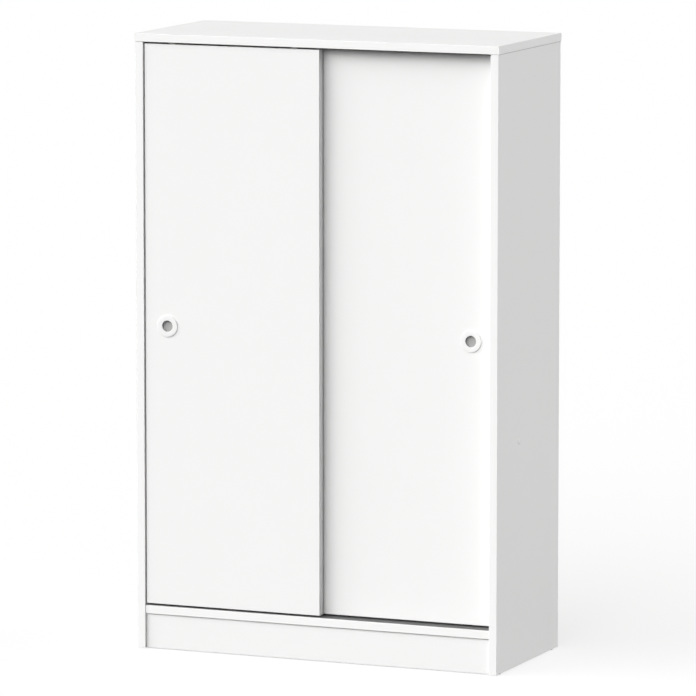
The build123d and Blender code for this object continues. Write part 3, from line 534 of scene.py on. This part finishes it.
# %% [markdown]
# ## A lathe made of Geometry Nodes
# All these fittings are turned shapes: a profile spun round an axis. In Geometry Nodes a lathe is a profile
# curve swept along a tiny circle. The finished shape is then set out on every seat, turned to face the right
# way, and realised into one mesh. A cross can be cut into the head for a driver. The tree is built once and
# serves every round fitting, because only its inputs change.

# %% Parts of the lathe tree
TINY = 1e-7  # radius of the circle that the profile is swept along
SEAL = 2e-6  # closes the pinhole that this leaves on the axis


def shape_node(tree, kind, sockets=None, **properties):
    """One Geometry node, by the last part of its type's name."""
    return add_any(tree, "GeometryNode" + kind, sockets, **properties)


def new_tree(name, result, inputs):
    """An empty Geometry Nodes tree with its result and its (name, kind) inputs."""
    tree = bpy.data.node_groups.new(name, "GeometryNodeTree")
    for socket, kind in inputs:
        tree.interface.new_socket(name=socket, in_out="INPUT", socket_type="NodeSocket" + kind)
    tree.interface.new_socket(name=result, in_out="OUTPUT", socket_type="NodeSocketGeometry")
    return tree


def end_tree(tree, shape, finish):
    """Makes a shape real, gives it its finish and hands it out."""
    real = shape_node(tree, "RealizeInstances", {"Geometry": shape}).outputs[0]
    dressed = shape_node(tree, "SetMaterial", {"Geometry": real, "Material": finish}).outputs[0]
    tree.links.new(dressed, add_any(tree, "NodeGroupOutput").inputs[0])


def spin_profile(tree, given):
    """The profile spun round the Z axis."""
    profile = shape_node(tree, "ObjectInfo", {"Object": given["Profile"]}).outputs["Geometry"]
    profile = shape_node(tree, "MeshToCurve", {"Mesh": profile}).outputs["Curve"]
    ring = {"Resolution": given["Segments"], "Radius": TINY}
    circle = shape_node(tree, "CurvePrimitiveCircle", ring).outputs[0]
    turned = shape_node(tree, "CurveToMesh", {"Curve": circle, "Profile Curve": profile}).outputs[0]
    return shape_node(tree, "MergeByDistance", {"Geometry": turned, "Distance": SEAL}).outputs[0]


def cut_cross(tree, given, turned):
    """The turned shape with two crossed bars cut out of its head, where a depth is given."""
    depth = calc(tree, "MULTIPLY", given["Cross Depth"], 2.0)
    bars = shape_node(tree, "JoinGeometry")
    for first, second in (("Cross Length", "Cross Width"), ("Cross Width", "Cross Length")):
        size = add_node(tree, "CombineXYZ", {0: given[first], 1: given[second], 2: depth}).outputs[0]
        bar = shape_node(tree, "MeshCube", {"Size": size}).outputs["Mesh"]
        tree.links.new(bar, bars.inputs[0])
    both = {"Mesh 1": turned, "Mesh 2": bars.outputs[0], "Self Intersection": True}
    cut = shape_node(tree, "MeshBoolean", both, operation="DIFFERENCE", solver="EXACT").outputs["Mesh"]
    limits = {0: given["Cross Depth"], 1: 0.0}
    crossed = add_any(tree, "FunctionNodeCompare", limits, operation="GREATER_THAN").outputs[0]
    return shape_node(tree, "Switch", {"Switch": crossed, "False": turned, "True": cut}).outputs[0]


print("lathe parts: spin_profile, cut_cross, end_tree")

# %% [markdown]
# ## Setting out the turned shapes
# The seats are loose points that carry a direction each. One shape is made at the origin, standing on its
# axis, and the tree copies it to every point and tips its axis to the point's direction.

# %% Build the lathe tree
LATHE_INPUTS = (
    ("Seats", "Geometry"),
    ("Profile", "Object"),
    ("Segments", "Int"),
    ("Cross Length", "Float"),
    ("Cross Width", "Float"),
    ("Cross Depth", "Float"),
    ("Finish", "Material"),
)


def lathe_tree():
    """Spins a profile, cuts its cross and sets it out on the seats."""
    tree = new_tree("Turned fittings", "Fittings", LATHE_INPUTS)
    given = add_any(tree, "NodeGroupInput").outputs
    head = cut_cross(tree, given, spin_profile(tree, given))
    facing = shape_node(tree, "InputNamedAttribute", {"Name": "facing"}, data_type="FLOAT_VECTOR").outputs[0]
    turn = add_any(tree, "FunctionNodeAlignRotationToVector", {"Vector": facing}, axis="Z").outputs[0]
    setting = {"Points": given["Seats"], "Instance": head, "Rotation": turn}
    placed = shape_node(tree, "InstanceOnPoints", setting).outputs[0]
    end_tree(tree, placed, given["Finish"])
    return tree


lathe = lathe_tree()
print("lathe inputs:", [socket.name for socket in lathe.interface.items_tree if socket.in_out == "INPUT"])

# %% [markdown]
# ## From a tree to a plain mesh
# A profile is a list of (radius, height) points in millimetres, with its height measured from the visible
# tip of the fitting: 0 at the tip and less than 0 below it. The helper lays the seats down as loose points,
# runs the tree on them, and keeps the result as a plain mesh that can ride on a body.

# %% Make a turned piece
MM = 0.001
SHARP = 32  # degrees; faces that meet at more than this keep a crisp edge


def new_object(name, data):
    """A new object in the scene."""
    made = bpy.data.objects.new(name, data)
    bpy.context.scene.collection.objects.link(made)
    return made


def grow(carrier, name, tree, values):
    """Runs a tree on a carrier, with its inputs by name, and keeps the plain mesh that it makes."""
    modifier = carrier.modifiers.new(tree.name, "NODES")
    modifier.node_group = tree
    for socket in tree.interface.items_tree:
        if socket.in_out == "INPUT" and socket.name in values:
            modifier[socket.identifier] = values[socket.name]
    shown = carrier.evaluated_get(bpy.context.evaluated_depsgraph_get())
    mesh = bpy.data.meshes.new_from_object(shown)
    mesh.name = name
    mesh.shade_smooth()
    mesh.set_sharp_from_angle(angle=math.radians(SHARP))
    bpy.data.objects.remove(carrier)
    return new_object(name, mesh)


def turned_piece(name, places, profile, finish, segments, cross=(0, 0, 0)):
    """Fittings turned from one profile, set out on their places; cross is a length, width and depth."""
    line = bpy.data.meshes.new("profile")
    corners = [(radius * MM, -height * MM, 0) for radius, height in profile]
    line.from_pydata(corners, [(i, i + 1) for i in range(len(corners) - 1)], [])
    outline = new_object("profile", line)
    points = bpy.data.meshes.new("seats")
    points.from_pydata([tip for tip, direction in places], [], [])
    facing = points.attributes.new("facing", "FLOAT_VECTOR", "POINT")
    for item, (tip, direction) in zip(facing.data, places):
        item.vector = direction
    length, width, depth = (value * MM for value in cross)
    values = {"Profile": outline, "Segments": segments, "Finish": finish}
    values.update({"Cross Length": length, "Cross Width": width, "Cross Depth": depth})
    piece = grow(new_object("seats", points), name, lathe, values)
    bpy.data.objects.remove(outline)
    print(name, "fittings:", len(places), "faces:", len(piece.data.polygons))
    return piece


print("unit of the profiles:", MM, "m")

# %% [markdown]
# ## Pan-head screws
# The door fittings, the rail and wall brackets and the steel angles are held by the same small screw with a
# domed head and a cross recess. Placing 26 of them by hand would be dull work, so the lathe sets them out,
# one mesh for each CAD node that they stand for. The dome is two arcs, and a helper lays out their points.


# %% Screws
def arc(centre, radius, start, end, steps=8):
    """Points of an arc in a profile, in millimetres and degrees."""
    angles = [math.radians(start + (end - start) * i / steps) for i in range(steps + 1)]
    return [(centre[0] + radius * math.cos(a), centre[1] + radius * math.sin(a)) for a in angles]


SCREW = [
    (0, 0),
    *arc((0.9, -1.6), 1.6, 90, 30, 5),
    *arc((2.55, -1.05), 0.45, 30, 0, 3),
    (3.0, -1.8),
    (1.45, -1.8),
    (1.45, -11.3),
    (0, -14.3),
]
SCREW_CROSS = (3.0, 0.75, 1.0)
SCREW_NODES = {
    "rail_bracket_screws": "carcass",
    "wall_bracket_screws": "carcass",
    "plinth_bracket_screws": "carcass",
    "front_door_fitting_screws": "front_door",
    "rear_door_fitting_screws": "rear_door",
}
for node, body in SCREW_NODES.items():
    name = node.replace("_screws", "_pan_heads")
    screws = turned_piece(name, seats(node), SCREW, zinc, segments=28, cross=SCREW_CROSS)
    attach(screws, body)
    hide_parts(node)

# %% [markdown]
# ## Cam locks
# A cam lock is a die-cast disc that a quarter turn tightens. What shows is its round face with a cross for
# the screwdriver, so it takes the same lathe with a wide profile and a bigger cross. Cams open to the side
# that nobody sees: inwards, downwards or backwards.

# %% Cams
CAM = [(0, -0.3), (5.4, -0.3), (5.8, 0), (7.1, 0), (7.5, -0.4), (7.5, -12.5), (0, -12.5)]
CAM_CROSS = (8.0, 1.5, 2.6)


def inwards(centre):
    """Towards the middle of the cupboard, along X."""
    return -1 if centre.x > 0 else 1


def cam_seats():
    """Seats of the cams, each along its shortest side."""
    found = []
    for island in islands("cam_locks"):
        centre, span = extent(island)
        along = min(range(3), key=lambda i: span[i])
        found.append(seat(centre, span, along, (inwards(centre), 1, -1)[along]))
    return found


cams = turned_piece("cam_discs", cam_seats(), CAM, zinc, segments=40, cross=CAM_CROSS)
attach(cams, "carcass")
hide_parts("cam_locks")

# %% [markdown]
# ## Pins, pads, glides and caps
# The loose shelf rests on steel pins, the doors stop against clear soft pads, the sides stand on nail-on
# glides, and a white cap hides each long shelf screw. All are turned too. The pads are the one see-through
# piece, so they get a finish of their own that lets light in.

# %% The clear finish of the pads
PAD_TONES = (0.86, 0.87, 0.86), (0.93, 0.93, 0.92)
PAD_ROUGH = (0.15, 0.25)
PAD_CLOUD = 0.002  # size of the cloudy tone


def pad_finish():
    """Clear soft plastic, a little cloudy."""
    material, tree, shader = new_finish("clear_pad", IOR=1.45, Transmission_Weight=0.75)
    cloud = noise(tree, add_node(tree, "TexCoord").outputs["Object"], PAD_CLOUD)
    tree.links.new(mix_colour(tree, cloud, *PAD_TONES), shader.inputs["Base Color"])
    tree.links.new(between(tree, cloud, *PAD_ROUGH), shader.inputs["Roughness"])
    return material


clear_pad = pad_finish()
print("clear finish:", clear_pad.name)

# %% [markdown]
# ## Four more profiles
# Each profile below is what a caliper would give: the pin with its collar, the pad with a round shoulder, the
# glide with its nail, and the cap as a slice of a wide sphere. A small table says which CAD nodes each of
# them stands for, along which axis it lies and which way it faces.

# %% Small turned fittings
PIN = [(0, 0), (2.1, 0), (2.5, -0.4), (2.5, -7.2), (3.8, -7.2), (4.0, -7.4), (4.0, -8.0), (2.5, -8.0)]
PIN += [(2.5, -17), (0, -17)]
PAD = [(0, 0), *arc((3.0, -1.0), 1.0, 90, 0), (4.0, -1.3), (4.0, -1.7), (0, -1.7)]
GLIDE = [(0, 0), (4.6, 0), *arc((4.9, -1.6), 1.6, 90, 0)[1:], (6.5, -2.0), (1.0, -2.0), (1.0, -14), (0, -16)]
CAP_RADIUS = 17.26  # of the sphere
CAP = [(0, 0)] + [(r, -CAP_RADIUS + math.sqrt(CAP_RADIUS**2 - r**2)) for r in (1, 2, 3, 4, 4.8, 5.3)]
CAP += [(5.5, -1.0), (5.5, -1.3), (0, -1.3)]


def outwards(centre):
    """Away from the middle of the cupboard, along X."""
    return -inwards(centre)


def downwards(centre):
    """To the floor, along Z."""
    return -1


CAP_NODES = ["left_screw_cap", "right_screw_cap"]
SMALL_FITTINGS = (  # name, CAD nodes, body, axis, way that it faces, profile, finish, slot
    ("shelf_rests", ["shelf_pins"], "carcass", 0, inwards, PIN, zinc, "zinc"),
    ("soft_pads", ["door_bumpers"], "carcass", 0, inwards, PAD, clear_pad, "bumper"),
    ("nail_glides", ["floor_glides"], "carcass", 2, downwards, GLIDE, plastics["glide"], "glide"),
    ("cover_caps", CAP_NODES, "carcass", 0, outwards, CAP, plastics["pull"], "white_plastic"),
)
for name, nodes, body, axis, facing, profile, finish, slot in SMALL_FITTINGS:
    places = [place for node in nodes for place in seats(node, axis, facing)]
    piece = turned_piece(name, places, profile, finish, segments=36)
    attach(piece, body)
    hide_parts(*nodes)

# %% [markdown]
# ## Finger pulls
# Each door is moved by a round white pull: a nearly flat ring, two millimetres proud of the door, round a
# shallow cup for a fingertip. It is the one piece of hardware that shows from the front, so its profile is
# drawn with care. The finish turns grey inside the cup's radius: painted shade that darkens the hollow of
# the cup, even where light falls on it.

# %% The finish of the pulls
# painted shade: the pull's cup is grey to darken its hollow
CUP_PAINTED_SHADE = (0.36, 0.36, 0.356)
CUP = 10.75 * MM
CUP_EDGE = (CUP - 0.1 * MM, CUP + 0.4 * MM)  # radii between which the grey turns white


def soft_step(tree, value, low, high):
    """Rises smoothly from 0 to 1 as value goes from low to high."""
    limits = {"Value": value, "From Min": low, "From Max": high}
    return add_node(tree, "MapRange", limits, interpolation_type="SMOOTHSTEP").outputs[0]


def pull_finish(door, tip):
    """White plastic, with painted shade in the cup."""
    material = plastic_finish(door + "_pull_plastic", *PLASTICS["pull"])
    tree = material.node_tree
    shader = tree.nodes["Principled BSDF"]
    white = shader.inputs["Base Color"].links[0].from_socket
    where = add_node(tree, "TexCoord").outputs["Object"]
    offset = add_node(tree, "VectorMath", {0: where, 1: tip}, operation="SUBTRACT").outputs[0]
    flat = add_node(tree, "VectorMath", {0: offset, 1: (1, 0, 1)}, operation="MULTIPLY").outputs[0]
    radius = add_node(tree, "VectorMath", {0: flat}, operation="LENGTH").outputs["Value"]
    outside = soft_step(tree, radius, *CUP_EDGE)
    # the painted shade fills the cup, and the white stays on the ring
    tree.links.new(mix_colour(tree, outside, CUP_PAINTED_SHADE, white), shader.inputs["Base Color"])
    return material


print("cup radius:", CUP, "m")

# %% [markdown]
# ## The pull's profile
# The profile runs from the middle of the cup outwards: a radius at the bottom of the cup, a soft lip, the
# nearly flat ring, a small round at the rim, and then back under the ring and round the cup from behind.

# %% Pulls
PULL = [
    (0, -6.0),
    *arc((9.75, -5.0), 1.0, -90, 0, 5),
    *arc((11.55, -0.8), 0.8, 180, 90, 8),
    (16.0, -0.02),
    *arc((20.45, -0.4), 0.3, 90, 0, 6),
    (20.75, -2.0),
    (12.95, -2.0),
    (12.95, -7.4),
    (0, -7.4),
]
for door in ("front_door", "rear_door"):
    low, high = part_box(door + "_finger_pull")
    tip = Vector(((low.x + high.x) / 2, low.y, (low.z + high.z) / 2))
    places = [(tip, Vector((0, -1, 0)))]
    pull = turned_piece(door + "_pull", places, PULL, pull_finish(door, tip), segments=96)
    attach(pull, door)
    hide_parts(door + "_finger_pull")

# %% [markdown]
# ## Hanging rail
# The rail is an oval steel tube. A rule makes it: a rectangle whose corners are rounded by half its width,
# the same again one wall smaller all round, the ring between them filled and pulled out to the length. That
# is a short tree, and its inputs are the sizes that a maker would give.

# %% Build the tube tree
TUBE_INPUTS = (
    ("Base", "Geometry"),
    ("Length", "Float"),
    ("Height", "Float"),
    ("Width", "Float"),
    ("Wall", "Float"),
    ("Finish", "Material"),
)
ROUND = 0.4999  # of the width: at a full half the corners would run into each other
ROUND_STEPS = 14
ALONG_RAIL = (math.pi / 2, 0, math.pi / 2)  # turns the tube from upright to along X


def oval(tree, given, walls):
    """An oval outline, smaller than the tube by some walls."""
    less = calc(tree, "MULTIPLY", given["Wall"], walls)
    width = calc(tree, "SUBTRACT", given["Width"], less)
    height = calc(tree, "SUBTRACT", given["Height"], less)
    oblong = shape_node(tree, "CurvePrimitiveQuadrilateral", {"Width": width, "Height": height}).outputs[0]
    corners = {"Curve": oblong, "Count": ROUND_STEPS, "Radius": calc(tree, "MULTIPLY", width, ROUND)}
    return shape_node(tree, "FilletCurve", corners, mode="POLY").outputs[0]


def oval_tube_tree():
    """A tube of oval section, lying along X."""
    tree = new_tree("Oval tube", "Tube", TUBE_INPUTS)
    given = add_any(tree, "NodeGroupInput").outputs
    ring = shape_node(tree, "JoinGeometry")
    for walls in (0.0, 2.0):
        tree.links.new(oval(tree, given, walls), ring.inputs[0])
    face = shape_node(tree, "FillCurve", {"Curve": ring.outputs[0]}).outputs[0]
    run = add_node(tree, "CombineXYZ", {2: given["Length"]}).outputs[0]
    pulled = {"Mesh": face, "Offset": run, "Offset Scale": 1.0, "Individual": False}
    tube = shape_node(tree, "ExtrudeMesh", pulled).outputs["Mesh"]
    near = shape_node(tree, "FlipFaces", {"Mesh": face}).outputs[0]
    whole = shape_node(tree, "JoinGeometry")
    for part in (tube, near):
        tree.links.new(part, whole.inputs[0])
    whole = shape_node(tree, "MergeByDistance", {"Geometry": whole.outputs[0], "Distance": SEAL}).outputs[0]
    lying = shape_node(tree, "Transform", {"Geometry": whole, "Rotation": ALONG_RAIL}).outputs[0]
    end_tree(tree, lying, given["Finish"])
    return tree


tube_tree = oval_tube_tree()
print("tube inputs:", [name for name, kind in TUBE_INPUTS])

# %% [markdown]
# ## The rail in its place
# The CAD box of the rail gives its length, height and width. The tree makes the tube from the origin, so the
# mesh is then slid to the left end of that box.

# %% Rail
RAIL_WALL = 1.2 * MM
low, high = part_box("hanging_rail")
span = high - low
sizes = {"Length": span.x, "Height": span.z, "Width": span.y, "Wall": RAIL_WALL, "Finish": chrome}
rail_base = new_object("rail_base", bpy.data.meshes.new("rail_base"))
rail = grow(rail_base, "chrome_rail", tube_tree, sizes)
rail.data.transform(Matrix.Translation((low.x, (low.y + high.y) / 2, (low.z + high.z) / 2)))
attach(rail, "carcass")
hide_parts("hanging_rail")
print("rail length:", round(span.x, 4), "faces:", len(rail.data.polygons))

# %% [markdown]
# ## Light
# The photograph is a white cut-out: soft light from the front and the left, hardly any from the floor, and a
# darker right side that takes its light from behind. Lamps could do it all, but each would need a place and
# a size. Here the light is painted on the world by direction: one ramp runs from left to right, one from
# level to straight up, and a low band lies behind.

# %% Light by direction
FRONT_LIGHT = 8.2
# shares of the front light from left to right, and from level to straight up
SWEEP = ((0.0, 0.8), (0.3, 0.8), (0.42, 0.6), (0.5, 1.0), (0.58, 0.75), (0.7, 0.08), (1.0, 0.04))
RISE = ((0.0, 0.05), (0.2, 0.4), (0.45, 1.0), (0.65, 0.6), (0.9, 0.03))
BACK_LIGHT = 1.5  # the low band behind
BACK_HEIGHT = 0.4  # where it fades out
HORIZON = 0.03  # nothing shines from below the floor's far edge
AROUND = 0.03  # a little light from everywhere else
TO_FRONT, TO_BACK = (0.1, -0.3), (-0.1, 0.3)  # along Y: where either light begins, and where it is full


def grey(level):
    """A grey, as a colour of three numbers."""
    return (level, level, level)


def light_by_direction(tree):
    """How strongly the world shines from each direction."""
    direction = add_node(tree, "TexCoord").outputs["Generated"]
    x, y, z = add_node(tree, "SeparateXYZ", {"Vector": direction}).outputs
    across = calc(tree, "MULTIPLY_ADD", x, 0.5, 0.5)
    sweep = ramp(tree, across, *[(place, grey(share)) for place, share in SWEEP])
    rise = ramp(tree, z, *[(place, grey(share)) for place, share in RISE])
    in_front = calc(tree, "MULTIPLY", soft_step(tree, y, *TO_FRONT), rise)
    in_front = calc(tree, "MULTIPLY", in_front, calc(tree, "MULTIPLY", sweep, FRONT_LIGHT))
    behind = calc(tree, "MULTIPLY", soft_step(tree, y, *TO_BACK), soft_step(tree, z, BACK_HEIGHT, 0.0))
    behind = calc(tree, "MULTIPLY", behind, BACK_LIGHT)
    level = calc(tree, "ADD", calc(tree, "ADD", in_front, behind), AROUND)
    return calc(tree, "MULTIPLY", level, soft_step(tree, z, 0.0, HORIZON))


print("light in front:", FRONT_LIGHT, "behind:", BACK_LIGHT)

# %% [markdown]
# ## A white background
# The background has to be white, but a white world would light the boards from every side. So the world is
# mixed of two: to the camera, to mirrors and to glass it is plain white, and to all other rays it is the
# painted light.

# %% World
WHITE = (1, 1, 1, 1)


def seen_directly(tree):
    """1 for rays of the camera, of mirrors and of glass, 0 for rays that carry light to the object."""
    rays = add_node(tree, "LightPath").outputs
    shiny = calc(tree, "MAXIMUM", rays["Is Glossy Ray"], rays["Is Transmission Ray"])
    return calc(tree, "MAXIMUM", rays["Is Camera Ray"], shiny)


scene = bpy.context.scene
scene.view_settings.view_transform = "Standard"
world = bpy.data.worlds.new("studio")
scene.world = world
world.use_nodes = True
tree = world.node_tree
painted = tree.nodes["Background"]
painted.inputs["Color"].default_value = WHITE
tree.links.new(light_by_direction(tree), painted.inputs["Strength"])
plain = add_node(tree, "Background", {"Color": WHITE, "Strength": 1.0})
mixed = add_node(tree, "MixShader", {0: seen_directly(tree), 1: painted.outputs[0], 2: plain.outputs[0]})
tree.links.new(mixed.outputs[0], tree.nodes["World Output"].inputs["Surface"])
print("world:", world.name, "nodes:", len(tree.nodes))

# %% [markdown]
# ## Side lamp
# Only the right side gets a lamp of its own: a wide sun, low and a little behind, hidden from reflections.
# The same light painted on the world would glare on the top when the wardrobe is seen from the left.

# %% Side lamp
SIDE_LIGHT = 1.95
SIDE_WIDTH = 20  # degrees
SIDE_FROM = (0.87, 0.46, 0.155)  # where the side lamp stands, seen from the wardrobe
sun = bpy.data.lights.new("side_lamp", "SUN")
sun.energy = SIDE_LIGHT
sun.angle = math.radians(SIDE_WIDTH)
side_lamp = new_object("side_lamp", sun)
side_lamp.rotation_euler = Vector(SIDE_FROM).to_track_quat("Z", "Y").to_euler()
side_lamp.visible_glossy = False
print("side lamp:", SIDE_LIGHT, "width:", SIDE_WIDTH, "degrees")

# %% [markdown]
# ## Floor
# The floor is there for the soft shadow. A plain white one would throw light up at the boards, which the
# photograph doesn't show. So it is nearly black to the rays that light the wardrobe, and to the camera it is
# dim grey paint with a glow that lifts it to the white of the background.

# %% Floor
FLOOR_SIZE = 40.0
FLOOR_DARK, FLOOR_GREY = 0.03, 0.22  # what it throws back, and what the camera sees lit
FLOOR_GLOW = 0.78
half = FLOOR_SIZE / 2
corners = [(-half, -half, 0), (half, -half, 0), (half, half, 0), (-half, half, 0)]
floor_mesh = bpy.data.meshes.new("floor")
floor_mesh.from_pydata(corners, [], [(0, 1, 2, 3)])
floor = new_object("floor", floor_mesh)
floor_paint, tree, dark = new_finish("floor_paint", Base_Color=opaque(grey(FLOOR_DARK)), Roughness=1.0,
                                     Specular_IOR_Level=0.0)
lit = add_node(tree, "BsdfDiffuse", {"Color": opaque(grey(FLOOR_GREY))})
glow = add_node(tree, "Emission", {"Color": WHITE, "Strength": FLOOR_GLOW})
bright = add_node(tree, "AddShader", {0: lit.outputs[0], 1: glow.outputs[0]})
mixed = add_node(tree, "MixShader", {0: seen_directly(tree), 1: dark.outputs[0], 2: bright.outputs[0]})
tree.links.new(mixed.outputs[0], tree.nodes["Material Output"].inputs["Surface"])
floor_mesh.materials.append(floor_paint)
print("floor:", FLOOR_SIZE, "m wide, glow:", FLOOR_GLOW)

# %% [markdown]
# ## Camera
# The camera was found by matching the corners of the boards to the photograph: it stands far off to the
# right front, about a metre above the top, with a long lens, so the uprights stay nearly parallel.

# %% Camera
CAMERA_PLACE = (4.57763, -10.80574, 2.19856)
CAMERA_TURN = 22.958  # degrees to the right of the front
CAMERA_DOWN = 7.808  # degrees below level
LENS = 316.83
SENSOR = 36.0
camera_data = bpy.data.cameras.new("camera")
camera_data.sensor_fit = "HORIZONTAL"
camera_data.sensor_width = SENSOR
camera_data.lens = LENS
camera = new_object("camera", camera_data)
camera.location = CAMERA_PLACE
camera.rotation_euler = (math.radians(90 - CAMERA_DOWN), 0, math.radians(CAMERA_TURN))
scene.camera = camera
print("camera distance:", round(Vector(CAMERA_PLACE).length, 2), "m")
